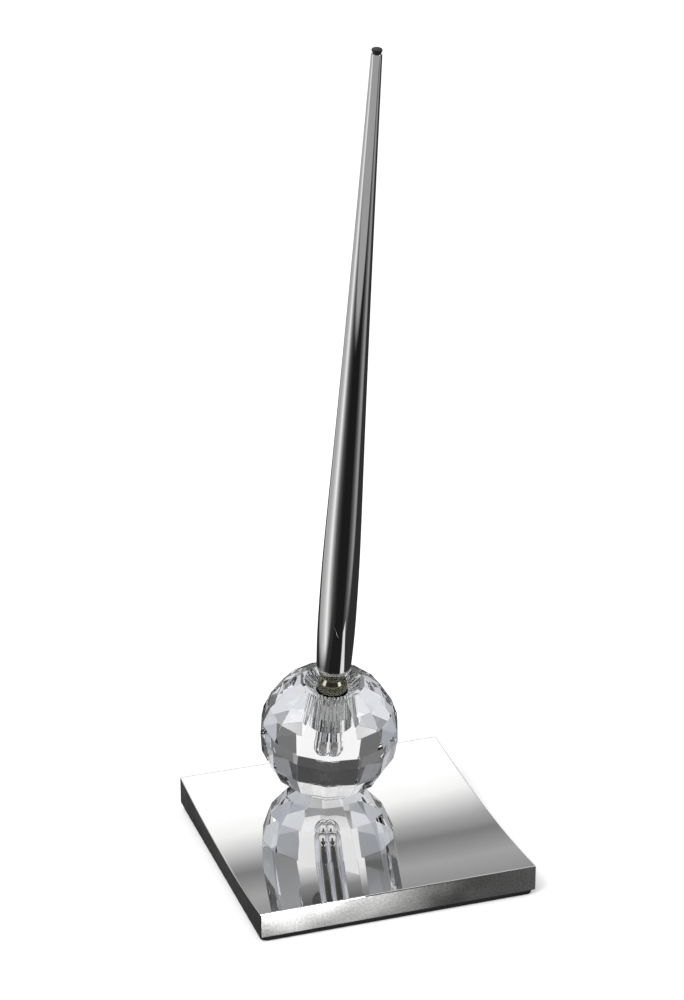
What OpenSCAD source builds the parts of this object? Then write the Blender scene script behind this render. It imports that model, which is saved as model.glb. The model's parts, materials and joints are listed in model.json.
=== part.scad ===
// Desk pen standing in a faceted crystal ball on a polished square plate.
// Millimetres, +Z up. The origin is the centre of the pad's underside; -Y is the front.

/* [Base] */
// Side of the square base plate
plate_w = 80; // [70:1:100]
// Thickness of the plate along the lowest line of its hollow top
plate_t = 5.9; // [4:0.1:9]
// Distance of that lowest line in front of the plate's middle
hollow_y = 9; // [0:1:20]
// Radius of the hollow top in front of its lowest line
front_curve_r = 280; // [200:10:600]
// Radius of the hollow top behind its lowest line
back_curve_r = 480; // [300:10:900]
// Width of the small bevels on the plate's corners and lower edges
plate_bevel = 0.5; // [0.2:0.1:1]
// Thickness of the foam pad under the plate
pad_t = 1.25; // [0.8:0.05:3]
// How far the pad stops short of the plate's edge
pad_inset = 0.5; // [0:0.1:3]
// Thickness of the adhesive film between the pad and the plate
film_t = 0.15; // [0.1:0.05:0.3]

/* [Ball] */
// Radius of the crystal ball over its facet corners
ball_r = 20.3; // [18:0.1:24]
// Facets around the ball
facets = 14; // [10:1:20]
// Turn of the facet columns about the ball's own axis
facet_turn = 6.5; // [0:0.5:25]
// Distance of the ball's seat behind the plate's middle
seat_y = 22.7; // [10:0.1:28]
// Distance from the ball's centre to the flat that it rests on
seat_depth = 19.1; // [18.5:0.1:19.5]
// Lean of the ball and the pen towards the front
lean = 10.8; // [0:0.1:20]

/* [Socket] */
// Radius of the countersink at the ball's top flat
dish_r = 8.0; // [7:0.1:8.5]
// Radius of the bore that takes the liner
bore_r = 5.35; // [5:0.05:6]
// Radius of the narrow bore for the writing tip
tip_bore_r = 2.7; // [2:0.1:3.2]
// Depth of the narrow bore below the ball's centre
tip_bore_depth = 3.2; // [0:0.1:5]
// Ribs around the liner
liner_ribs = 28; // [16:1:40]

/* [Pen] */
// Distance from the ball's centre to the pen's top end
pen_top = 213.6; // [180:0.1:230]
// Largest radius of the barrel
girth_r = 5.36; // [5.2:0.01:6]
// Radius of the barrel's top end
tail_r = 1.42; // [1.4:0.01:2]
// Wall thickness of the barrel
barrel_wall = 0.6; // [0.4:0.05:0.6]
// Radius of the nose's ball-shaped shoulder
bulb_r = 4.3; // [4:0.05:4.5]
// Radius of the refill's tube
refill_r = 1.17; // [1.1:0.01:1.2]
// Radius of the writing ball
writing_r = 0.35; // [0.3:0.01:0.4]

/* [Hidden] */
$fn = 96;
eps = 0.01;

// Heights in the row's own frame
plate_z = pad_t + film_t;
hollow_z = plate_z + plate_t;
seat_slope = asin((seat_y + hollow_y) / back_curve_r);
seat_z = hollow_z + back_curve_r * (1 - cos(seat_slope));
bond_t = 0.2;
bond_r = 5.6;
bond_lift = bond_r * bond_r / (2 * back_curve_r) + eps / 2;
ball_y = seat_y - (seat_depth + bond_t) * sin(seat_slope);
ball_z = seat_z + (seat_depth + bond_t) * cos(seat_slope);

// Angles from the ball's top to each ring of facet corners
ring_angles = [27.5, 45, 62, 78, 87, 105, 125, 145, 163];
last_ring = len(ring_angles) - 1;
table_h = ball_r * cos(ring_angles[0]);

// Heights along the pen's axis, counted from the ball's centre
dish_floor = 15.4;
liner_top = 15.2;
liner_foot = 3.2;
seat_floor = 12.7;
bulb_h = 16.7;
neck_r = 3.5;
nose_r = 2.6;
ring_h = 21.4;
barrel_foot = 22.2;
insert_r = 3.9;
stem_r = 3.25;
stem_top = 33;
insert_top = 32.5;
run_gap = 0.05;
flange_bore_r = 4.7;
guide_r = 2.95;

// Refill heights along the same axis
shoulder_h = 0.65;
nose_tip = -1.6;
tip_point = -3.4;
writing_h = -3.2;
tube_top = 63;
ink_foot = 6;
ink_top = 50;
follower_top = 53;
tube_bore_r = 0.9;
plug_h = 1.1;

// Moves its children onto the axis shared by the ball and the pen
module on_axis() {
    translate([0, ball_y, ball_z])
        rotate([lean, 0, 0])
            children();
}

// A plain tube along the axis from z0 to z1
module tube(r_out, r_in, z0, z1) {
    translate([0, 0, z0])
        difference() {
            cylinder(r = r_out, h = z1 - z0);
            translate([0, 0, -1])
                cylinder(r = r_in, h = z1 - z0 + 2);
        }
}

// ---- Base ----

// Everything above the plate's hollow top, as two cylinders that meet at the lowest line
module above_hollow() {
    half(back_curve_r, 1);
    half(front_curve_r, -1);
}

// One side of the hollow: a cylinder of radius r kept only behind (1) or in front (-1)
module half(r, side) {
    intersection() {
        translate([0, -hollow_y, hollow_z + r])
            rotate([0, 90, 0])
                cylinder(r = r, h = 2 * plate_w, center = true, $fn = 720);
        translate([-plate_w, side > 0 ? -hollow_y - eps : -hollow_y - plate_w, hollow_z - 1])
            cube([2 * plate_w, plate_w + eps, 30]);
    }
}

// A square outline with small bevels at its four corners
module square_outline(side, bevel) {
    h = side / 2;
    polygon([[-h + bevel, -h], [h - bevel, -h], [h, -h + bevel], [h, h - bevel],
             [h - bevel, h], [-h + bevel, h], [-h, h - bevel], [-h, -h + bevel]]);
}

module base_plate() {
    color([0.82, 0.82, 0.81])
        difference() {
            translate([0, 0, plate_z])
                linear_extrude(height = plate_t + 6)
                    square_outline(plate_w, plate_bevel);
            above_hollow();
        }
}

module adhesive_film() {
    color([0.85, 0.85, 0.8])
        translate([0, 0, pad_t])
            linear_extrude(height = film_t)
                square_outline(plate_w - 2 * pad_inset, plate_bevel);
}

module base_pad() {
    color([0.12, 0.12, 0.12])
        linear_extrude(height = pad_t)
            square_outline(plate_w - 2 * pad_inset, plate_bevel);
}

// ---- Ball ----

// Moves its children so that z = 0 is the plate's tangent plane at the seat
module at_seat() {
    translate([0, seat_y, seat_z])
        rotate([seat_slope, 0, 0])
            children();
}

// The disc is flat, so it clears the hollow's curve by its sag over the disc
module bond_disc() {
    color([0.9, 0.93, 0.95, 0.6])
        at_seat()
            translate([0, 0, bond_lift])
                cylinder(r = bond_r, h = bond_t - bond_lift);
}

// Facet corners on the ring at one angle from the top
function ring_points(angle) =
    [for (k = [0 : facets - 1])
        let (a = facet_turn - 90 + k * 360 / facets)
            ball_r * [sin(angle) * cos(a), sin(angle) * sin(a), cos(angle)]];

// One four-sided facet between two rings
function facet(ring, k) =
    let (next = (k + 1) % facets)
        [ring * facets + k, ring * facets + next,
         (ring + 1) * facets + next, (ring + 1) * facets + k];

module faceted_ball() {
    points = [for (angle = ring_angles) each ring_points(angle)];
    sides = [for (ring = [0 : last_ring - 1]) for (k = [0 : facets - 1]) facet(ring, k)];
    table = [for (k = [facets - 1 : -1 : 0]) k];
    foot = [for (k = [0 : facets - 1]) last_ring * facets + k];
    polyhedron(points = points, faces = concat(sides, [table], [foot]));
}

module crystal_ball() {
    color([0.92, 0.95, 0.97, 0.4])
        difference() {
            on_axis()
                faceted_ball();
            at_seat()
                translate([0, 0, bond_t - 20])
                    cylinder(r = 20, h = 20);
            on_axis()
                socket_bore();
        }
}

// Countersink, liner bore and narrow bore with its rounded end
module socket_bore() {
    translate([0, 0, dish_floor])
        cylinder(r1 = bore_r, r2 = dish_r + 0.5, h = (table_h - dish_floor) * (1 + 0.5 / (dish_r - bore_r)));
    translate([0, 0, liner_foot])
        cylinder(r = bore_r, h = dish_floor - liner_foot + eps);
    translate([0, 0, -tip_bore_depth])
        cylinder(r = tip_bore_r, h = tip_bore_depth + liner_foot + eps);
    translate([0, 0, -tip_bore_depth])
        sphere(r = tip_bore_r);
}

module socket_liner() {
    rib_pitch = 360 / liner_ribs;
    flute_r = 0.38;
    color([0.93, 0.94, 0.95, 0.5])
        on_axis()
            difference() {
                translate([0, 0, liner_foot + run_gap])
                    cylinder(r = bore_r - run_gap, h = liner_top - liner_foot - run_gap);
                translate([0, 0, liner_foot - 1])
                    cylinder(r = guide_r, h = liner_top);
                translate([0, 0, seat_floor])
                    cylinder(r = flange_bore_r, h = liner_top);
                for (k = [0 : liner_ribs - 1])
                    rotate([0, 0, k * rib_pitch])
                        translate([bore_r, 0, liner_foot - 1])
                            cylinder(r = flute_r, h = liner_top - liner_foot, $fn = 24);
            }
}

// ---- Seat ring and nose ----

module seat_ring() {
    top = seat_floor + 1.6;
    cone_h = top - seat_floor - 0.4;
    color([0.2, 0.2, 0.2])
        on_axis()
            difference() {
                tube(flange_bore_r - 0.08, guide_r, seat_floor + run_gap, top);
                translate([0, 0, top - cone_h])
                    cylinder(r1 = guide_r, r2 = guide_r + cone_h, h = cone_h + eps);
            }
}

// The pen's front section: stem, neck, ball-shaped shoulder, shank and cone
module nose_section() {
    neck_h = bulb_h + sqrt(bulb_r * bulb_r - neck_r * neck_r);
    cone_top = 4.5;
    cone_r = 1.5;
    feed_r = refill_r + run_gap;
    outlet_r = 0.95;
    pocket_r = 2.0;
    color([0.45, 0.44, 0.4])
        on_axis()
            difference() {
                union() {
                    translate([0, 0, bulb_h])
                        sphere(r = bulb_r);
                    translate([0, 0, neck_h - 1])
                        cylinder(r = neck_r, h = ring_h - neck_h + 1);
                    translate([0, 0, ring_h - 1])
                        cylinder(r = stem_r, h = stem_top - ring_h + 1);
                    translate([0, 0, cone_top])
                        cylinder(r = nose_r, h = bulb_h - cone_top);
                    translate([0, 0, nose_tip])
                        cylinder(r1 = cone_r, r2 = nose_r, h = cone_top - nose_tip);
                }
                translate([0, 0, shoulder_h])
                    cylinder(r = feed_r, h = stem_top);
                translate([0, 0, nose_tip - 1])
                    cylinder(r = outlet_r, h = shoulder_h - nose_tip + 1 + eps);
                translate([0, 0, stem_top - 4])
                    cylinder(r = pocket_r, h = 5);
            }
}

module refill_holder() {
    color([0.85, 0.85, 0.83])
        on_axis()
            difference() {
                union() {
                    tube(2.0, refill_r + 0.02, stem_top - 4, stem_top + 3);
                    tube(2.6, refill_r + 0.02, stem_top, stem_top + 1.2);
                }
                translate([-3, -0.3, stem_top + 1.2])
                    cube([6, 0.6, 3]);
            }
}

// ---- Barrel ----

module trim_ring() {
    r = 3.95;
    h = barrel_foot - ring_h;
    bead = 0.25;
    color([0.3, 0.3, 0.28])
        on_axis()
            rotate_extrude()
                polygon([[stem_r + run_gap, ring_h], [r - bead, ring_h], [r, ring_h + bead],
                         [r, ring_h + h - bead], [r - bead, ring_h + h], [stem_r + run_gap, ring_h + h]]);
}

function bezier(p, u) =
    pow(1 - u, 3) * p[0] + 3 * u * pow(1 - u, 2) * p[1] + 3 * u * u * (1 - u) * p[2] + pow(u, 3) * p[3];

// The barrel's outline from its mouth to its tail, as [radius, height] points
girth_h = 40;
barrel_top = pen_top - plug_h;
mouth_r = 5.0;
mouth_h = 24.4;
lip_r = 4.0;
belly = [[mouth_r, mouth_h], [5.2, 29], [girth_r, 34], [girth_r, girth_h]];
taper = [[girth_r, girth_h], [girth_r, 76], [4.43, 68.4], [tail_r, barrel_top]];
lip = [for (a = [0 : 15 : 90])
    [lip_r + (mouth_r - lip_r) * sin(a), mouth_h - (mouth_h - barrel_foot) * cos(a)]];
flank = concat([for (i = [1 : 6]) bezier(belly, i / 6)], [for (i = [1 : 36]) bezier(taper, i / 36)]);

// The hollow inside follows the taper one wall thickness in, and stops where it gets narrow
insert_seat = 34;
core_r = 0.8;
core = [for (p = flank) if (p[1] > insert_seat + 6) [max(p[0] - barrel_wall, core_r), p[1]]];

module barrel() {
    top = barrel_top;
    color([0.5, 0.5, 0.5])
        on_axis()
            rotate_extrude()
                polygon(concat(
                    lip, flank,
                    [[core_r, top]],
                    [for (i = [len(core) - 2 : -1 : 0]) core[i]],
                    [[insert_r, insert_seat], [insert_r, barrel_foot]]));
}

module thread_insert() {
    color([0.75, 0.62, 0.35])
        on_axis()
            tube(insert_r, stem_r + run_gap, barrel_foot + 0.4, insert_top);
}

// Small dark finial pressed into the barrel's top
module end_plug() {
    stem_h = 6;
    groove_r = 1.12;
    color([0.25, 0.25, 0.25])
        on_axis()
            rotate_extrude()
                polygon([[0, barrel_top - stem_h], [core_r, barrel_top - stem_h], [core_r, barrel_top],
                         [groove_r, barrel_top], [groove_r, barrel_top + 0.45], [tail_r - 0.04, barrel_top + 0.6],
                         [tail_r - 0.04, pen_top - 0.12], [tail_r - 0.2, pen_top], [0, pen_top]]);
}

// ---- Refill ----

module refill_tube() {
    color([0.78, 0.66, 0.4])
        on_axis()
            tube(refill_r, tube_bore_r, shoulder_h + run_gap, tube_top);
}

module refill_tip() {
    shank_top = 5.5;
    cone_r = 0.88;
    rim_r = 0.42;
    feed_r = 0.25;
    color([0.7, 0.68, 0.6])
        on_axis()
            difference() {
                union() {
                    translate([0, 0, shoulder_h + run_gap])
                        cylinder(r = tube_bore_r, h = shank_top - shoulder_h - run_gap);
                    translate([0, 0, tip_point])
                        cylinder(r1 = rim_r, r2 = cone_r, h = shoulder_h + run_gap - tip_point);
                }
                translate([0, 0, writing_h])
                    sphere(r = writing_r + 0.02);
                translate([0, 0, writing_h])
                    cylinder(r = feed_r, h = shank_top - writing_h + 1);
            }
}

module ink_column() {
    color([0.05, 0.07, 0.3])
        on_axis()
            translate([0, 0, ink_foot])
                cylinder(r = tube_bore_r, h = ink_top - ink_foot);
}

module ink_follower() {
    color([0.85, 0.82, 0.7])
        on_axis()
            translate([0, 0, ink_top])
                cylinder(r = tube_bore_r, h = follower_top - ink_top);
}

module writing_ball() {
    color([0.6, 0.6, 0.62])
        on_axis()
            translate([0, 0, writing_h])
                sphere(r = writing_r);
}

base_plate();
adhesive_film();
base_pad();
bond_disc();
crystal_ball();
socket_liner();
seat_ring();
nose_section();
refill_holder();
trim_ring();
barrel();
thread_insert();
end_plug();
refill_tube();
refill_tip();
ink_column();
ink_follower();
writing_ball();
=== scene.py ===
"""Desk pen in a cut crystal ball on a polished plate: the looks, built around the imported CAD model.

Lengths in the build functions are in mm, as in the CAD, and MM turns them into metres.
"""

import json
import math

import bmesh
import bpy
from mathutils import Matrix, Vector


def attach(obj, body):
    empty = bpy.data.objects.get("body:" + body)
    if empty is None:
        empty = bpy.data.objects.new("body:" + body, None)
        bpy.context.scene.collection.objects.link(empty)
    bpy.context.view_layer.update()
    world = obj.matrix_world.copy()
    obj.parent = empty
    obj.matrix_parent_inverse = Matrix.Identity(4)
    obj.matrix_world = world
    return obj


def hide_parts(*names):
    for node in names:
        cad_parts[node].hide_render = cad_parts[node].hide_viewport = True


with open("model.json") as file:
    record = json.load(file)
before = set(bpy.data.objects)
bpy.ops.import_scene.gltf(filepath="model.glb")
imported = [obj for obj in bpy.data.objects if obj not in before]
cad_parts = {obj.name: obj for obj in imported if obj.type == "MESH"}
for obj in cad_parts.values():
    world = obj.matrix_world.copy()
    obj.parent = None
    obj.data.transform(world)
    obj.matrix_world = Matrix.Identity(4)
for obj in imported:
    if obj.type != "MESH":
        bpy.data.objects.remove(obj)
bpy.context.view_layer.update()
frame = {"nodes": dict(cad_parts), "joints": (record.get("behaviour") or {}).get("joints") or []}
joints = {j["name"]: j for j in frame["joints"]}
MM = 0.001
scene = bpy.context.scene

# The ball's centre and the axis that the ball and the pen share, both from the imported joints
CENTRE = Vector(joints["pen_spin"]["pos_m"])
AXIS = Vector(joints["pen_spin"]["axis"]).normalized()
LEAN = math.atan2(-AXIS.y, AXIS.z)
ON_AXIS = Matrix.Translation(CENTRE) @ Matrix.Rotation(LEAN, 4, "X")

# ---------------------------------------------------------------- camera

CAMERA_AT = Vector((-0.2285, -0.6708, 0.4077))
CAMERA_AZIMUTH = math.radians(-18.57)
CAMERA_ELEVATION = math.radians(22.89)
CAMERA_ROLL = math.radians(-0.1)
FOCAL_MM, SENSOR_MM = 102.0, 36.0

# The level directions towards the camera and to its right, which the studio is laid out by
TO_CAMERA = Vector((math.sin(CAMERA_AZIMUTH), -math.cos(CAMERA_AZIMUTH), 0))
TO_RIGHT = Vector((math.cos(CAMERA_AZIMUTH), math.sin(CAMERA_AZIMUTH), 0))


def add_camera():
    back = TO_CAMERA * math.cos(CAMERA_ELEVATION) + Vector((0, 0, math.sin(CAMERA_ELEVATION)))
    turn = Matrix((TO_RIGHT, back.cross(TO_RIGHT), back)).transposed().to_4x4()
    roll = Matrix.Rotation(CAMERA_ROLL, 4, "Z")
    data = bpy.data.cameras.new("camera")
    data.lens = FOCAL_MM
    data.sensor_width = SENSOR_MM
    data.sensor_fit = "AUTO"
    data.clip_start = 0.01
    camera = bpy.data.objects.new("camera", data)
    camera.matrix_world = Matrix.Translation(CAMERA_AT) @ turn @ roll
    scene.collection.objects.link(camera)
    scene.camera = camera


add_camera()

# ---------------------------------------------------------------- node helpers


class Graph:
    """A node tree with short calls for the nodes that the materials and the studio use."""

    def __init__(self, tree):
        self.tree = tree
        self.tree.nodes.clear()

    def node(self, kind, inputs=None, **values):
        n = self.tree.nodes.new(kind)
        for key, value in values.items():
            setattr(n, key, value)
        for key, value in (inputs or {}).items():
            self.feed(n, key, value)
        return n

    def feed(self, n, key, value):
        if isinstance(value, bpy.types.NodeSocket):
            self.tree.links.new(value, n.inputs[key])
        else:
            n.inputs[key].default_value = value

    def math(self, operation, a, b=0.0, c=0.0):
        return self.node("ShaderNodeMath", {0: a, 1: b, 2: c}, operation=operation).outputs[0]

    def dot(self, a, b):
        return self.node("ShaderNodeVectorMath", {0: a, 1: b}, operation="DOT_PRODUCT").outputs["Value"]

    def turn(self, vector):
        """A direction's or place's turn to the camera's right, 0 to 1 with 0.5 towards the camera."""
        angle = self.math("ARCTAN2", self.dot(vector, TO_RIGHT), self.dot(vector, TO_CAMERA))
        return self.math("MULTIPLY_ADD", angle, 1 / math.tau, 0.5)

    def scaled(self, vector, factors):
        return self.node("ShaderNodeVectorMath", {0: vector, 1: factors}, operation="MULTIPLY").outputs[0]

    def between(self, value, low, high, to_low=0.0, to_high=1.0):
        """value from low..high to to_low..to_high, eased and clamped."""
        return self.node("ShaderNodeMapRange", {"Value": value, "From Min": low, "From Max": high,
                                                "To Min": to_low, "To Max": to_high},
                         interpolation_type="SMOOTHSTEP").outputs[0]

    def ramp(self, value, stops):
        """stops are (position, colour)."""
        n = self.node("ShaderNodeValToRGB", {"Fac": value})
        elements = n.color_ramp.elements
        while len(elements) < len(stops):
            elements.new(0.5)
        for element, (position, _) in zip(elements, stops):
            element.position = position
        for element, (_, colour) in zip(elements, stops):
            element.color = (*colour, 1)
        return n.outputs["Color"]

    def mix(self, factor, a, b):
        n = self.node("ShaderNodeMix", data_type="RGBA")
        self.feed(n, 0, factor)
        for key, value in ((6, a), (7, b)):
            self.feed(n, key, value if isinstance(value, bpy.types.NodeSocket) else (*value, 1))
        return n.outputs[2]

    def noise(self, vector, scale, detail=3.0, roughness=0.5):
        return self.node("ShaderNodeTexNoise", {"Vector": vector, "Scale": scale, "Detail": detail,
                                                "Roughness": roughness}).outputs["Fac"]

    def voronoi(self, vector, scale):
        return self.node("ShaderNodeTexVoronoi", {"Vector": vector, "Scale": scale}).outputs["Distance"]

    def bump(self, height, distance, strength=1.0):
        return self.node("ShaderNodeBump", {"Height": height, "Distance": distance,
                                            "Strength": strength}).outputs["Normal"]


def linear(display):
    """A 0..255 display value to linear."""
    return ((display / 255 + 0.055) / 1.055) ** 2.4 if display > 10 else display / 255 / 12.92


def grey(display):
    return (linear(display),) * 3


def shade(colour, factor):
    return tuple(c * factor for c in colour)


# ---------------------------------------------------------------- studio

# What mirrors and glass see around the set. A table gives (degrees, display grey) stops: degrees to the
# camera's right where its name ends in TURN, and degrees above the horizon where it ends in RISE.

# The sweep behind the set, white above a grey band where it meets the table
SWEEP_RISE = [(0, 205), (14, 190), (18, 150), (23, 170), (28, 130), (30, 165), (31, 200), (33, 255),
              (36, 280), (43, 260), (48, 105), (58, 110), (64, 235), (90, 200)]
# A dark room with low soft boxes at its left and right
LOW_TURN = [(-180, 235), (-135, 225), (-112, 110), (-86, 90), (-78, 330), (-58, 380), (-52, 90), (-25, 75),
            (25, 75), (44, 80), (50, 380), (68, 380), (75, 100), (105, 110), (130, 225), (180, 235)]
# The same room higher up
HIGH_TURN = [(-180, 110), (-130, 90), (-80, 90), (-72, 110), (-67, 225), (-58, 225), (-50, 35), (50, 35),
             (57, 250), (90, 250), (98, 90), (130, 90), (180, 110)]
CEILING = 165
# The white soft box behind the set, and its image in the table
CENTRE_RISE = [(-90, 225), (-60, 225), (-47, 230), (-42, 255), (-11, 255), (-8, 90), (0, 70), (9, 80),
               (14, 145), (18, 240), (45, 250), (50, 150), (56, 160), (62, 245), (90, 225)]
# The darker frame of that box
FRAME_RISE = [(-90, 200), (-50, 230), (-37, 240), (-31, 150), (-26, 110), (0, 110), (8, 150), (16, 120),
              (24, 100), (30, 165), (37, 180), (47, 240), (56, 135), (64, 245), (90, 205)]
# The pale sides of the room
SIDES_RISE = [(-90, 160), (-64, 215), (-45, 240), (-30, 240), (-24, 205), (-14, 195), (-8, 165),
              (0, 215), (8, 170), (16, 160), (24, 220), (32, 220), (40, 180), (48, 210), (56, 185),
              (64, 240), (90, 190)]
# The dark front, where the camera stands
FRONT_RISE = [(-90, 60), (-40, 40), (-20, 60), (-10, 80), (22, 75), (34, 60), (44, 110), (56, 90),
              (70, 130), (90, 150)]
# The table: pale behind, bright at the left, dark in front and a paler patch at the right
TABLE_TURN = [(-180, 185), (-115, 175), (-95, 210), (-80, 255), (-65, 170), (-50, 90), (-30, 45), (-15, 30),
              (40, 30), (60, 90), (80, 155), (115, 100), (145, 150), (180, 185)]
# TABLE_BESIDE is the grey of a painted shadow on the table beside the plate's left side
TABLE_NEAR, TABLE_BESIDE = 165, 50

# Where one part of the studio gives way to the next, as (start, end) of the change. rise and turn go from
# 0 to 1, and aside, how far turn is from the camera's side, goes from 0 there to 0.5 behind the set.
HIGH_FROM, CEILING_FROM = (0.64, 0.67), (0.84, 0.87)
SWEEP_FROM = (0.28, 0.36)
SIDES_FROM, FRAME_FROM, CENTRE_FROM = (0.14, 0.22), (0.365, 0.395), (0.425, 0.435)
# The same on the table, in metres: towards the camera, and past the plate's left side and its front, where
# the painted shadow lies
NEAR_FROM, BESIDE_X, BESIDE_Y = (0.205, 0.235), (-0.085, -0.06), (-0.055, -0.03)

# How far red, green and blue lean in the bluest grey, which grey that is, and how far off it the lean is gone
LEAN_TO_BLUE, BLUEST, BLUE_SPAN = (-0.03, -0.01, 0.035), 190, 95


def turn_stops(table):
    return [((angle + 180) / 360, grey(tone)) for angle, tone in table]


def rise_stops(table):
    return [((angle + 90) / 180, grey(tone)) for angle, tone in table]


def cool_rise_stops(table):
    """rise_stops with the middle greys a little blue."""
    stops = []
    for angle, tone in table:
        blue = 1 - abs(tone - BLUEST) / BLUE_SPAN
        stops.append(((angle + 90) / 180, tuple(linear(tone * (1 + blue * k)) for k in LEAN_TO_BLUE)))
    return stops


def seen_in_mirrors(g, turn, rise, aside):
    """The sweep behind the set, and round the rest the room under its ceiling."""
    room = g.mix(g.between(rise, *HIGH_FROM), g.ramp(turn, turn_stops(LOW_TURN)),
                 g.ramp(turn, turn_stops(HIGH_TURN)))
    room = g.mix(g.between(rise, *CEILING_FROM), room, grey(CEILING))
    return g.mix(g.between(aside, *SWEEP_FROM), room, g.ramp(rise, rise_stops(SWEEP_RISE)))


def seen_in_glass(g, rise, aside):
    """From the camera round to the back: the dark front, the pale sides, the frame and the soft box."""
    seen = g.mix(g.between(aside, *SIDES_FROM), g.ramp(rise, rise_stops(FRONT_RISE)),
                 g.ramp(rise, cool_rise_stops(SIDES_RISE)))
    seen = g.mix(g.between(aside, *FRAME_FROM), seen, g.ramp(rise, cool_rise_stops(FRAME_RISE)))
    return g.mix(g.between(aside, *CENTRE_FROM), seen, g.ramp(rise, rise_stops(CENTRE_RISE)))


def add_studio():
    """Plain white for the camera and for matt surfaces; mirrors and glass see the studio around the set."""
    world = bpy.data.worlds.new("studio")
    scene.world = world
    world.use_nodes = True
    g = Graph(world.node_tree)
    ray = g.node("ShaderNodeTexCoord").outputs["Generated"]
    turn = g.turn(ray)
    rise = g.math("MULTIPLY_ADD", g.math("ARCSINE", g.dot(ray, (0, 0, 1))), 1 / math.pi, 0.5)
    aside = g.math("ABSOLUTE", g.math("SUBTRACT", turn, 0.5))
    path = g.node("ShaderNodeLightPath")
    seen = g.mix(path.outputs["Is Transmission Ray"], seen_in_mirrors(g, turn, rise, aside),
                 seen_in_glass(g, rise, aside))
    plain = g.math("MAXIMUM", path.outputs["Is Camera Ray"], path.outputs["Is Diffuse Ray"])
    shader = g.node("ShaderNodeBackground", {"Color": g.mix(plain, seen, (1, 1, 1)), "Strength": 1.0})
    g.node("ShaderNodeOutputWorld", {"Surface": shader.outputs[0]})


TABLE_REACH, TABLE_Z, FLOOR_REACH = 8.0, -0.001, 6.0


def add_plane(name, reach, z, material):
    mesh = bpy.data.meshes.new(name)
    mesh.from_pydata([(-reach, -reach, z), (reach, -reach, z), (reach, reach, z), (-reach, reach, z)],
                     [], [(0, 1, 2, 3)])
    mesh.materials.append(material)
    plane = bpy.data.objects.new(name, mesh)
    scene.collection.objects.link(plane)
    return plane


def add_table():
    """What mirrors see of the table: TABLE_TURN, a painted shadow dark beside the plate's left and grey near
    the camera.
    """
    material = bpy.data.materials.new("table")
    material.use_nodes = True
    g = Graph(material.node_tree)
    where = g.node("ShaderNodeTexCoord").outputs["Object"]
    seen = g.ramp(g.turn(where), turn_stops(TABLE_TURN))
    seen = g.mix(g.between(g.dot(where, TO_CAMERA), *NEAR_FROM), seen, grey(TABLE_NEAR))
    # Painted shadow on the table, dark beside the plate's left side
    beside = g.math("MULTIPLY", g.between(g.dot(where, (1, 0, 0)), *BESIDE_X),
                    g.between(g.dot(where, (0, 1, 0)), *BESIDE_Y))
    seen = g.mix(beside, seen, grey(TABLE_BESIDE))
    shader = g.node("ShaderNodeEmission", {"Color": seen})
    g.node("ShaderNodeOutputMaterial", {"Surface": shader.outputs[0]})
    material.cycles.emission_sampling = "NONE"
    table = add_plane("table", TABLE_REACH, TABLE_Z, material)
    table.visible_camera = False
    table.visible_diffuse = False
    table.visible_transmission = False
    table.visible_shadow = False


def add_light(name, at, target, size, watts):
    """A rectangular area light at a place, turned to a target."""
    data = bpy.data.lights.new(name, "AREA")
    data.shape = "RECTANGLE"
    data.size, data.size_y = size
    data.energy = watts
    light = bpy.data.objects.new(name, data)
    aim = (Vector(at) - Vector(target)).to_track_quat("Z", "Y").to_matrix().to_4x4()
    light.matrix_world = Matrix.Translation(at) @ aim
    scene.collection.objects.link(light)
    return light


def light_only(light, *pieces):
    """Keep a light to these pieces."""
    lit = bpy.data.collections.new(light.name)
    for piece in pieces:
        lit.objects.link(piece)
    light.light_linking.receiver_collection = lit


def add_floor():
    """The pale floor that the camera sees and that takes the set's shadow."""
    material = bpy.data.materials.new("floor")
    material.use_nodes = True
    g = Graph(material.node_tree)
    shader = g.node("ShaderNodeBsdfDiffuse", {"Color": (0.93, 0.93, 0.93, 1)})
    g.node("ShaderNodeOutputMaterial", {"Surface": shader.outputs[0]})
    floor = add_plane("floor", FLOOR_REACH, 0, material)
    floor.visible_glossy = False
    floor.visible_transmission = False


add_studio()
add_table()
add_floor()
# The key light falls on matt surfaces; mirrors and glass don't show it
key = add_light("key", at=(-0.9, -0.5, 1.3), target=(0, 0, 0.05), size=(0.9, 0.9), watts=14)
key.visible_glossy = False
key.visible_transmission = False
scene.view_settings.view_transform = "Standard"
# Enough bounces for light to get through the facets, the bore and the liner
scene.cycles.max_bounces = 24
scene.cycles.transmission_bounces = 24
scene.cycles.glossy_bounces = 12

# ---------------------------------------------------------------- materials


def new_material(name, colour, **sockets):
    """A Principled material; returns it with its graph, shader and object coordinates."""
    material = bpy.data.materials.new(name)
    material.use_nodes = True
    g = Graph(material.node_tree)
    shader = g.node("ShaderNodeBsdfPrincipled")
    shader.inputs["Base Color"].default_value = (*colour, 1)
    for key, value in sockets.items():
        shader.inputs[key.replace("_", " ")].default_value = value
    g.node("ShaderNodeOutputMaterial", {"Surface": shader.outputs[0]})
    where = g.node("ShaderNodeTexCoord").outputs["Object"]
    return material, g, shader, where


def polished_metal(name, colour, roughness, haze):
    """Mirror plate with faint wipe marks and handling haze."""
    material, g, shader, where = new_material(name, colour, Metallic=1.0)
    wipe = g.noise(g.scaled(where, (900, 260, 900)), 1.0, 4, 0.6)
    smudge = g.noise(where, 55, 3)
    g.feed(shader, "Roughness", g.between(g.math("MULTIPLY", wipe, smudge), 0.2, 0.45,
                                          roughness, roughness + haze))
    tint = g.between(smudge, 0.35, 0.7)
    g.feed(shader, "Base Color", g.mix(tint, colour, shade(colour, 0.97)))
    return material


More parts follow.
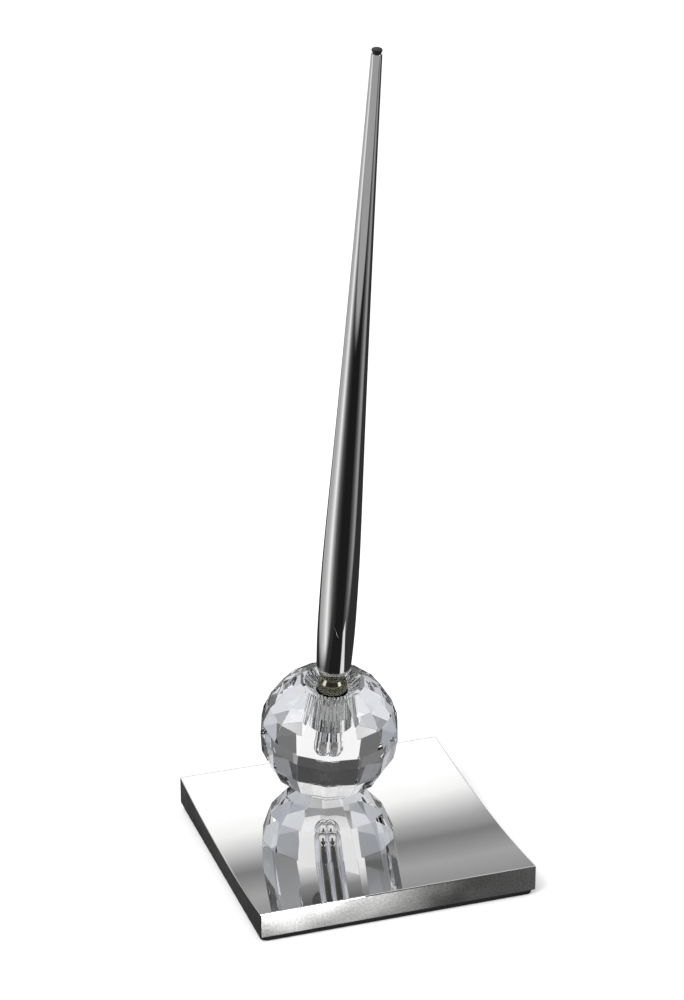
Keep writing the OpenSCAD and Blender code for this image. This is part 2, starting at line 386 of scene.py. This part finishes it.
def satin_metal(name, colour, roughness=0.34):
    """Bead-blasted plate edge."""
    material, g, shader, where = new_material(name, colour, Metallic=1.0)
    beads = g.noise(where, 1500, 4, 0.75)
    cloud = g.noise(where, 90, 3)
    g.feed(shader, "Roughness", g.between(cloud, 0.3, 0.7, roughness - 0.03, roughness + 0.05))
    g.feed(shader, "Base Color", g.mix(g.between(beads, 0.38, 0.62), shade(colour, 0.72), colour))
    g.feed(shader, "Normal", g.bump(beads, 0.08 * MM, 0.8))
    return material


def clear(name, colour, ior, haze):
    """Glass or clear plastic, with a faint film that dulls it in patches."""
    material, g, shader, where = new_material(name, colour, Transmission_Weight=1.0, IOR=ior)
    film = g.noise(where, 160, 3)
    g.feed(shader, "Roughness", g.between(film, 0.5, 0.8, 0.0, haze))
    return material


def turned_metal(name, colour, roughness=0.22):
    """Metal turned on a lathe: fine rings around the pen's axis."""
    material, g, shader, where = new_material(name, colour, Metallic=1.0)
    along = g.dot(where, tuple(AXIS))
    steps = g.node("ShaderNodeCombineXYZ", {"Z": g.math("MULTIPLY", along, 6000)}).outputs[0]
    rings = g.noise(steps, 1.0, 3)
    blotch = g.noise(where, 400, 3)
    g.feed(shader, "Roughness", g.between(blotch, 0.3, 0.7, roughness, roughness + 0.12))
    g.feed(shader, "Base Color", g.mix(g.between(blotch, 0.35, 0.75), colour, shade(colour, 0.78)))
    g.feed(shader, "Normal", g.bump(rings, 0.01 * MM, 0.6))
    return material


def matt(name, colour, roughness, grain, depth, dark=0.6):
    """Rubber, moulded plastic or another dull surface with a fine grain of a depth in mm."""
    material, g, shader, where = new_material(name, colour)
    speck = g.noise(where, grain, 3, 0.6)
    g.feed(shader, "Base Color", g.mix(g.between(speck, 0.35, 0.65), shade(colour, dark), colour))
    g.feed(shader, "Roughness", g.between(speck, 0.3, 0.7, roughness - 0.08, roughness + 0.05))
    g.feed(shader, "Normal", g.bump(speck, depth * MM, 0.7))
    return material


def foam(name, colour):
    """Black closed-cell foam: cells bumped in as pits between slightly paler walls, the colour darker down
    each pit as painted shade.
    """
    material, g, shader, where = new_material(name, colour, Specular_IOR_Level=0.25)
    cells = g.voronoi(where, 2600)
    # Painted shade: the colour is darkest at the floor of each bump pit, where the cells are deepest
    g.feed(shader, "Base Color", g.mix(g.between(cells, 0.1, 0.55), shade(colour, 0.35), colour))
    g.feed(shader, "Roughness", g.between(cells, 0.1, 0.6, 0.98, 0.8))
    g.feed(shader, "Normal", g.bump(cells, 0.12 * MM, 0.9))
    return material


def wet(name, colour, roughness=0.12):
    """Ink or grease."""
    material, g, shader, where = new_material(name, colour, Coat_Weight=0.5)
    swirl = g.noise(where, 900, 2)
    g.feed(shader, "Base Color", g.mix(swirl, shade(colour, 0.6), colour))
    g.feed(shader, "Roughness", g.between(swirl, 0.3, 0.7, roughness, roughness + 0.1))
    return material


CRYSTAL_IOR = 1.545
M = {
    "mirror": polished_metal("polished_steel_mirror", (0.90, 0.90, 0.895), 0.012, 0.025),
    "edge": polished_metal("polished_steel_edge", (0.88, 0.88, 0.875), 0.06, 0.05),
    "satin": satin_metal("polished_steel_satin", (0.80, 0.80, 0.79)),
    "film": matt("adhesive_film", (0.80, 0.78, 0.70), 0.4, 1500, 0.01, 0.9),
    "foam": foam("foam", (0.018, 0.018, 0.019)),
    "bond": clear("bond", (0.97, 0.985, 1.0), 1.50, 0.05),
    "crystal": clear("crystal", (1.0, 1.0, 1.0), CRYSTAL_IOR, 0.012),
    "drilled": clear("crystal_drilled", (1.0, 1.0, 1.0), CRYSTAL_IOR, 0.02),
    "liner": clear("liner", (0.985, 0.99, 1.0), 1.49, 0.03),
    "seat": matt("seat_rubber", (0.03, 0.03, 0.03), 0.6, 3000, 0.01),
    "nickel": polished_metal("dark_nickel", (0.33, 0.315, 0.24), 0.015, 0.02),
    "shank": polished_metal("nose_shank", (0.80, 0.79, 0.76), 0.02, 0.02),
    "holder": matt("holder_plastic", (0.75, 0.75, 0.72), 0.45, 1800, 0.006, 0.92),
    "chrome": polished_metal("barrel_chrome", (0.86, 0.86, 0.855), 0.008, 0.012),
    "brass": turned_metal("brass", (0.72, 0.52, 0.24)),
    "plug": turned_metal("plug_dark", (0.06, 0.06, 0.06), 0.3),
    "refill_brass": turned_metal("refill_brass", (0.74, 0.56, 0.28), 0.18),
    "tip": turned_metal("tip_metal", (0.60, 0.57, 0.50), 0.2),
    "ink": wet("ink", (0.01, 0.02, 0.16)),
    "follower": wet("follower", (0.72, 0.62, 0.36), 0.25),
    "carbide": matt("carbide", (0.30, 0.30, 0.31), 0.3, 9000, 0.002, 0.8),
}

# ---------------------------------------------------------------- mesh helpers


def add_piece(name, mesh, body, replaced, slot, *materials):
    """A mesh in the row frame as a piece on a body, standing for CAD nodes."""
    piece = bpy.data.objects.new(name, mesh)
    scene.collection.objects.link(piece)
    for material in materials:
        mesh.materials.append(material)
    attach(piece, body)
    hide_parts(*replaced)
    return piece


def smooth(mesh, degrees=30):
    """Smooth shading that breaks at edges sharper than degrees."""
    mesh.polygons.foreach_set("use_smooth", [True] * len(mesh.polygons))
    mesh.set_sharp_from_angle(angle=math.radians(degrees))


def filleted(outline, closed=True):
    """(radius, height, fillet) corners in mm to points, each corner rounded by its fillet."""
    corners = [Vector((p[0], p[1])) for p in outline]
    fillets = [p[2] if len(p) > 2 else 0 for p in outline]
    points = []
    for i, corner in enumerate(corners):
        if not fillets[i] or (not closed and i in (0, len(corners) - 1)):
            points.append(corner)
            continue
        before = (corners[i - 1] - corner).normalized()
        after = (corners[(i + 1) % len(corners)] - corner).normalized()
        half = math.acos(max(-1, min(1, before.dot(after)))) / 2
        reach = fillets[i] / math.tan(half)
        hub = corner + (before + after).normalized() * (fillets[i] / math.sin(half))
        start, end = corner + before * reach - hub, corner + after * reach - hub
        sweep = start.angle_signed(end)
        steps = max(2, round(abs(sweep) / math.radians(15)))
        points += [hub + Matrix.Rotation(-sweep * s / steps, 2) @ start for s in range(steps + 1)]
    return [tuple(p) for p in points]


def lathe(name, points, segments=128, closed=True, radius=None):
    """(radius, height) points in mm turned about the pen's axis. radius(r, z, angle) may change r."""
    verts, faces, rings = [], [], []
    for r, z in points:
        if r < 1e-6:
            rings.append([len(verts)])
            verts.append(ON_AXIS @ Vector((0, 0, z * MM)))
            continue
        rings.append(list(range(len(verts), len(verts) + segments)))
        for k in range(segments):
            angle = math.tau * k / segments
            rr = radius(r, z, angle) if radius else r
            verts.append(ON_AXIS @ Vector((rr * math.cos(angle) * MM, rr * math.sin(angle) * MM, z * MM)))
    pairs = list(zip(rings, rings[1:] + rings[:1])) if closed else list(zip(rings, rings[1:]))
    for low, high in pairs:
        if len(low) == 1 and len(high) == 1:
            continue
        for k in range(segments):
            n = (k + 1) % segments
            if len(low) == 1:
                faces.append((low[0], high[n], high[k]))
            elif len(high) == 1:
                faces.append((low[k], low[n], high[0]))
            else:
                faces.append((low[k], low[n], high[n], high[k]))
    mesh = bpy.data.meshes.new(name)
    mesh.from_pydata(verts, [], faces)
    fix_normals(mesh)
    return mesh


def fix_normals(mesh):
    work = bmesh.new()
    work.from_mesh(mesh)
    bmesh.ops.recalc_face_normals(work, faces=work.faces)
    work.to_mesh(mesh)
    work.free()


# ---------------------------------------------------------------- base

PLATE_HALF, PLATE_FOOT, PLATE_BEVEL = 40.0, 1.4, 0.32
PAD_HALF, PAD_T = 39.5, 1.25
# The hollow's lowest height, the line that it lies on, and its radii in front of that line and behind it
PLATE_LOW, HOLLOW_Y, FRONT_R, BACK_R = 7.3, -9.0, 280.0, 480.0


def hollow_top(y):
    r = BACK_R if y > HOLLOW_Y else FRONT_R
    return PLATE_LOW + r - math.sqrt(r * r - (y - HOLLOW_Y) ** 2)


def build_plate():
    """Concave mirror top, satin sides and a narrow polished bevel round every edge."""
    work = bmesh.new()
    columns, rows = 8, 160
    top, foot = [], []
    for j in range(rows + 1):
        y = -PLATE_HALF + 2 * PLATE_HALF * j / rows
        for rank, z in ((top, hollow_top(y)), (foot, PLATE_FOOT)):
            if rank is foot and j not in (0, rows):
                rank.append(None)
                continue
            rank.append([work.verts.new(((-PLATE_HALF + 2 * PLATE_HALF * i / columns) * MM, y * MM, z * MM))
                         for i in range(columns + 1)])
    for j in range(rows):
        for i in range(columns):
            work.faces.new((top[j][i], top[j][i + 1], top[j + 1][i + 1], top[j + 1][i])).material_index = 0
    for j, turn in ((0, 1), (rows, -1)):
        for i in range(columns):
            quad = (foot[j][i], foot[j][i + 1], top[j][i + 1], top[j][i])
            work.faces.new(quad[::turn]).material_index = 1
    for i, turn in ((0, -1), (columns, 1)):
        side = [foot[0][i], foot[rows][i]] + [top[j][i] for j in range(rows, -1, -1)]
        work.faces.new(side[::turn]).material_index = 1
    ring = foot[0] + foot[rows][::-1]
    work.faces.new(ring[::-1]).material_index = 1
    mesh = bpy.data.meshes.new("plate")
    bmesh.ops.recalc_face_normals(work, faces=work.faces)
    sharp = [e for e in work.edges if len(e.link_faces) == 2 and e.calc_face_angle() > math.radians(40)]
    bmesh.ops.bevel(work, geom=sharp, offset=PLATE_BEVEL * MM, segments=3, profile=0.5, affect="EDGES",
                    material=2, harden_normals=False)
    work.to_mesh(mesh)
    work.free()
    smooth(mesh, 35)
    plate = add_piece("plate", mesh, "stand", ["base_plate"], "polished_steel",
                      M["mirror"], M["satin"], M["edge"])
    weight = plate.modifiers.new("weighted", "WEIGHTED_NORMAL")
    weight.keep_sharp = True
    return plate


def build_pad():
    """Foam pad: a thin slab whose cut edges are soft and waver slightly."""
    count, margin, wave, corner = 60, 0.06, 0.05, 0.035
    inset = [(0.22, 0.0), (0.06, 0.12), (0.0, 0.35), (0.03, 0.62), (0.0, 0.9), (0.07, 1.14), (0.2, PAD_T)]
    around = []
    for side in range(4):
        for k in range(count):
            t = -1 + 2 * k / count
            around.append({0: (t, -1), 1: (1, t), 2: (-t, 1), 3: (-1, -t)}[side])
    work = bmesh.new()
    rings = []
    for level, (pull, z) in enumerate(inset):
        ring = []
        for k, (u, v) in enumerate(around):
            wobble = wave * math.sin(k * 2.39 + level * 1.7) * math.sin(k * 0.71)
            size = PAD_HALF - pull - margin + (wobble if 0 < level < len(inset) - 1 else 0)
            bend = 1 - 0.012 * max(0, abs(u) + abs(v) - 2 + corner) / corner
            ring.append(work.verts.new((u * size * bend * MM, v * size * bend * MM, z * MM)))
        rings.append(ring)
    n = len(around)
    for low, high in zip(rings, rings[1:]):
        for k in range(n):
            work.faces.new((low[k], low[(k + 1) % n], high[(k + 1) % n], high[k]))
    work.faces.new(rings[0][::-1])
    work.faces.new(rings[-1])
    bmesh.ops.recalc_face_normals(work, faces=work.faces)
    mesh = bpy.data.meshes.new("pad")
    work.to_mesh(mesh)
    work.free()
    smooth(mesh, 50)
    piece = add_piece("pad", mesh, "stand", ["base_pad"], "foam", M["foam"])


plate = build_plate()
build_pad()
# A small lamp for the plate alone, low in front of its front left corner
edge_lamp = add_light("edge", at=(-0.028, -0.085, 0.004), target=(-0.036, -0.04, 0.004), size=(0.06, 0.012),
                      watts=0.07)
light_only(edge_lamp, plate)

# ---------------------------------------------------------------- crystal ball

BALL_R, FACETS, FACET_TURN, FACET_BEVEL = 20.3, 14, 6.5, 0.05
RING_ANGLES = [27.5, 45, 62, 78, 87, 105, 125, 145, 163]
SEAT_Y = 22.7
SEAT_SLOPE = math.asin((SEAT_Y - HOLLOW_Y) / BACK_R)
SEAT = Vector((0, SEAT_Y, hollow_top(SEAT_Y))) * MM
SEAT_NORMAL = Vector((0, -math.sin(SEAT_SLOPE), math.cos(SEAT_SLOPE)))
BOND_T = 0.2
TABLE_H = BALL_R * math.cos(math.radians(RING_ANGLES[0]))
DISH_R, DISH_FLOOR, BORE_R = 8.0, 15.4, 5.35
LINER_TOP, LINER_FOOT, SEAT_FLOOR = 15.2, 3.2, 12.7
TIP_BORE_R, TIP_BORE_DEPTH = 2.7, 3.2


def build_ball():
    """Faceted crystal with narrow polished edges, cut flat where it is bonded, with its dish and bore."""
    work = bmesh.new()
    rings = []
    for ring_angle in RING_ANGLES:
        tilt = math.radians(ring_angle)
        ring = []
        for k in range(FACETS):
            a = math.radians(FACET_TURN - 90 + k * 360 / FACETS)
            out = Vector((math.sin(tilt) * math.cos(a), math.sin(tilt) * math.sin(a), math.cos(tilt)))
            ring.append(work.verts.new(ON_AXIS @ (out * BALL_R * MM)))
        rings.append(ring)
    for high, low in zip(rings, rings[1:]):
        for k in range(FACETS):
            n = (k + 1) % FACETS
            work.faces.new((high[k], low[k], low[n], high[n]))
    work.faces.new(rings[0])
    work.faces.new(rings[-1][::-1])
    bmesh.ops.recalc_face_normals(work, faces=work.faces)
    cut = bmesh.ops.bisect_plane(work, geom=work.verts[:] + work.edges[:] + work.faces[:],
                                 plane_co=SEAT + SEAT_NORMAL * BOND_T * MM, plane_no=SEAT_NORMAL,
                                 clear_inner=True)
    rim = [e for e in cut["geom_cut"] if isinstance(e, bmesh.types.BMEdge)]
    bmesh.ops.contextual_create(work, geom=rim)
    bmesh.ops.recalc_face_normals(work, faces=work.faces)
    bmesh.ops.bevel(work, geom=work.edges[:], offset=FACET_BEVEL * MM, segments=1, affect="EDGES")
    mesh = bpy.data.meshes.new("ball")
    work.to_mesh(mesh)
    work.free()
    over, clear_of_top = 0.5, 2
    rise = (TABLE_H - DISH_FLOOR) * (1 + over / (DISH_R - BORE_R))
    cutter_top = DISH_FLOOR + rise + clear_of_top
    end = [(TIP_BORE_R * math.cos(math.radians(a)),
            -TIP_BORE_DEPTH - TIP_BORE_R * math.sin(math.radians(a))) for a in range(0, 90, 6)]
    outline = filleted([(0, cutter_top), (DISH_R + over, cutter_top),
                        (DISH_R + over, DISH_FLOOR + rise), (BORE_R, DISH_FLOOR, 0.25),
                        (BORE_R, LINER_FOOT, 0.12), (TIP_BORE_R, LINER_FOOT, 0.15)], closed=False)
    bore = lathe("bore", outline + end + [(0, -TIP_BORE_DEPTH - TIP_BORE_R)], 128, closed=False)
    cutter = bpy.data.objects.new("bore", bore)
    scene.collection.objects.link(cutter)
    piece = bpy.data.objects.new("ball", mesh)
    scene.collection.objects.link(piece)
    for part in (mesh, bore):
        part.materials.append(M["crystal"])
        part.materials.append(M["drilled"])
    bore.polygons.foreach_set("material_index", [1] * len(bore.polygons))
    carve = piece.modifiers.new("carve", "BOOLEAN")
    carve.object = cutter
    carve.operation = "DIFFERENCE"
    carve.solver = "EXACT"
    carve.material_mode = "INDEX"
    bpy.context.view_layer.update()
    carved = bpy.data.meshes.new_from_object(piece.evaluated_get(bpy.context.evaluated_depsgraph_get()))
    bpy.data.objects.remove(piece)
    bpy.data.objects.remove(cutter)
    carved.name = "ball"
    smooth(carved, 30)
    for face in carved.polygons:
        face.use_smooth = face.material_index == 1
    carved.materials.clear()
    add_piece("crystal", carved, "stand", ["crystal_ball"], "crystal", M["crystal"], M["drilled"])


build_ball()


def build_liner():
    """Clear moulded liner: fluted outside, flanged at the top."""
    ribs, flute_r, outer, guide_r, flange_r, foot = 28, 0.38, BORE_R + 0.01, 2.95, 4.7, LINER_FOOT + 0.05
    outline = filleted([(guide_r, foot, 0.1), (outer, foot, 0.1), (outer, LINER_TOP, 0.12),
                        (flange_r, LINER_TOP, 0.1), (flange_r, SEAT_FLOOR, 0.1),
                        (guide_r, SEAT_FLOOR, 0.1)])

    def fluted(r, z, angle):
        if r < flange_r + 0.2:
            return r
        off = (angle * ribs / math.tau + 0.5) % 1 - 0.5
        chord = off * math.tau / ribs * BORE_R
        dip = math.sqrt(flute_r ** 2 - chord ** 2) if abs(chord) < flute_r else 0
        return min(r, BORE_R - dip) if dip else r

    mesh = lathe("liner", outline, ribs * 12, radius=fluted)
    smooth(mesh, 35)
    add_piece("liner", mesh, "stand", ["socket_liner"], "liner", M["liner"])


build_liner()

# ---------------------------------------------------------------- pen

BARREL_FOOT, BARREL_TOP, PEN_TOP = 22.2, 212.5, 213.6
RING_H, STEM_R, STEM_TOP = 21.4, 3.25, 33.0
BULB_R, BULB_H, NECK_R, NOSE_R, SHANK_TOP = 4.3, 16.7, 3.5, 2.6, 11.3
MOUTH_R, MOUTH_H, GIRTH_R, GIRTH_H, TAIL_R, CORE_R = 5.0, 24.4, 5.36, 40, 1.42, 0.8
BELLY = [(MOUTH_R, MOUTH_H), (5.2, 29), (GIRTH_R, 34), (GIRTH_R, GIRTH_H)]
TAPER = [(GIRTH_R, GIRTH_H), (GIRTH_R, 76), (4.43, 68.4), (TAIL_R, BARREL_TOP)]


def bezier(p, u):
    """The point at u, from 0 to 1, on the cubic curve with the control points p."""
    w = ((1 - u) ** 3, 3 * u * (1 - u) ** 2, 3 * u * u * (1 - u), u ** 3)
    return tuple(sum(w[i] * p[i][k] for i in range(4)) for k in (0, 1))


def build_barrel():
    """Long tapered tube with a rounded mouth, hollow down to the thread insert's seat."""
    lip_r, insert_r, insert_seat, wall = 4.0, 3.9, 34, 0.6
    lip = [(lip_r + (MOUTH_R - lip_r) * math.sin(math.radians(a)),
            MOUTH_H - (MOUTH_H - BARREL_FOOT) * math.cos(math.radians(a))) for a in range(0, 91, 5)]
    flank = [bezier(BELLY, i / 24) for i in range(1, 25)] + [bezier(TAPER, i / 120) for i in range(1, 120)]
    rim = filleted([flank[-1], (TAIL_R, BARREL_TOP, 0.12), (CORE_R, BARREL_TOP)], closed=False)[1:]
    inside = [(max(r - wall, CORE_R), z) for r, z in flank[::6] if z > insert_seat + 6][::-1]
    points = lip + flank + rim + inside + [(insert_r, insert_seat), (insert_r, BARREL_FOOT)]
    mesh = lathe("barrel", points, 160)
    smooth(mesh, 30)
    add_piece("barrel_shell", mesh, "barrel", ["barrel"], "barrel_chrome", M["chrome"])


def build_nose():
    """Stem with a helical thread, coved neck, ball-shaped shoulder, shank and cone."""
    pitch, depth, thread_foot, thread_top = 0.75, 0.2, 22.3, 32.4
    feed_r, outlet_r, shoulder_h = 1.22, 0.95, 0.65
    pocket_r, pocket_foot = 2.0, STEM_TOP - 4
    tip_z, cone_top, cone_r = -1.6, 4.5, 1.5
    points = filleted([(outlet_r, tip_z, 0.05), (cone_r, tip_z, 0.15), (NOSE_R, cone_top, 1.2),
                       (NOSE_R, SHANK_TOP)], closed=False)
    start = math.degrees(math.asin(NOSE_R / BULB_R))
    stop = 180 - math.degrees(math.asin(NECK_R / BULB_R))
    points += [(BULB_R * math.sin(math.radians(a)), BULB_H - BULB_R * math.cos(math.radians(a)))
               for a in [start + (stop - start) * i / 40 for i in range(41)]]
    neck_foot, neck_top, cove = points[-1][1], RING_H - 0.3, 0.35
    points += [(NECK_R - cove * math.sin(math.pi * i / 16), neck_foot + (neck_top - neck_foot) * i / 16)
               for i in range(1, 16)]
    points += filleted([(NECK_R, neck_top), (NECK_R, RING_H, 0.1), (STEM_R, RING_H)], closed=False)
    steps = 8
    turns = round((thread_top - thread_foot) / pitch)
    points += [(STEM_R, thread_foot + pitch * i / steps) for i in range(turns * steps + 1)]
    points += filleted([points[-1], (STEM_R, STEM_TOP, 0.25), (pocket_r, STEM_TOP, 0.1),
                        (pocket_r, pocket_foot), (feed_r, pocket_foot), (feed_r, shoulder_h),
                        (outlet_r, shoulder_h)], closed=False)[1:]

    def threaded(r, z, angle):
        if abs(r - STEM_R) > 1e-6 or not thread_foot <= z <= thread_top:
            return r
        phase = (z / pitch - angle / math.tau) % 1
        fade = min(1, (z - thread_foot) / pitch, (thread_top - z) / pitch)
        return r - depth * fade * (1 - abs(2 * phase - 1))

    mesh = lathe("nose", points, 128, radius=threaded)
    smooth(mesh, 32)
    to_pen = ON_AXIS.inverted()
    for face in mesh.polygons:
        face.material_index = int((to_pen @ face.center).z < SHANK_TOP * MM)
    add_piece("nose_shell", mesh, "nose", ["nose_section"], "dark_nickel", M["nickel"], M["shank"])


def build_trim_ring():
    """Thin ring with rounded edges between the neck and the barrel."""
    outer, inner = 3.95, STEM_R + 0.05
    mesh = lathe("trim", filleted([(inner, RING_H, 0.05), (outer, RING_H, 0.3), (outer, BARREL_FOOT, 0.3),
                                   (inner, BARREL_FOOT, 0.05)]), 128)
    smooth(mesh, 35)
    add_piece("trim", mesh, "collar", ["trim_ring"], "dark_nickel", M["nickel"])


def build_plug():
    """Finial: a peg in the barrel's end, a groove and a small disc."""
    groove_r, disc_r, peg_foot = 1.12, 1.38, BARREL_TOP - 6
    points = filleted(
        [(0, peg_foot), (CORE_R, peg_foot, 0.1), (CORE_R, BARREL_TOP), (groove_r, BARREL_TOP),
         (groove_r, BARREL_TOP + 0.45, 0.06), (disc_r, BARREL_TOP + 0.6, 0.05), (disc_r, PEN_TOP, 0.2),
         (0, PEN_TOP)], closed=False)
    mesh = lathe("plug", points, 96, closed=False)
    smooth(mesh, 35)
    add_piece("finial", mesh, "barrel", ["end_plug"], "plug_dark", M["plug"])


build_barrel()
build_nose()
build_trim_ring()
build_plug()

# ---------------------------------------------------------------- CAD nodes that stay

# The material that each of them gets
KEPT = {"adhesive_film": "film", "bond_disc": "bond", "seat_ring": "seat", "refill_holder": "holder",
        "thread_insert": "brass", "refill_tube": "refill_brass", "refill_tip": "tip", "ink_column": "ink",
        "ink_follower": "follower", "writing_ball": "carbide"}
for node, key in KEPT.items():
    data = frame["nodes"][node].data
    data.materials.clear()
    data.materials.append(M[key])
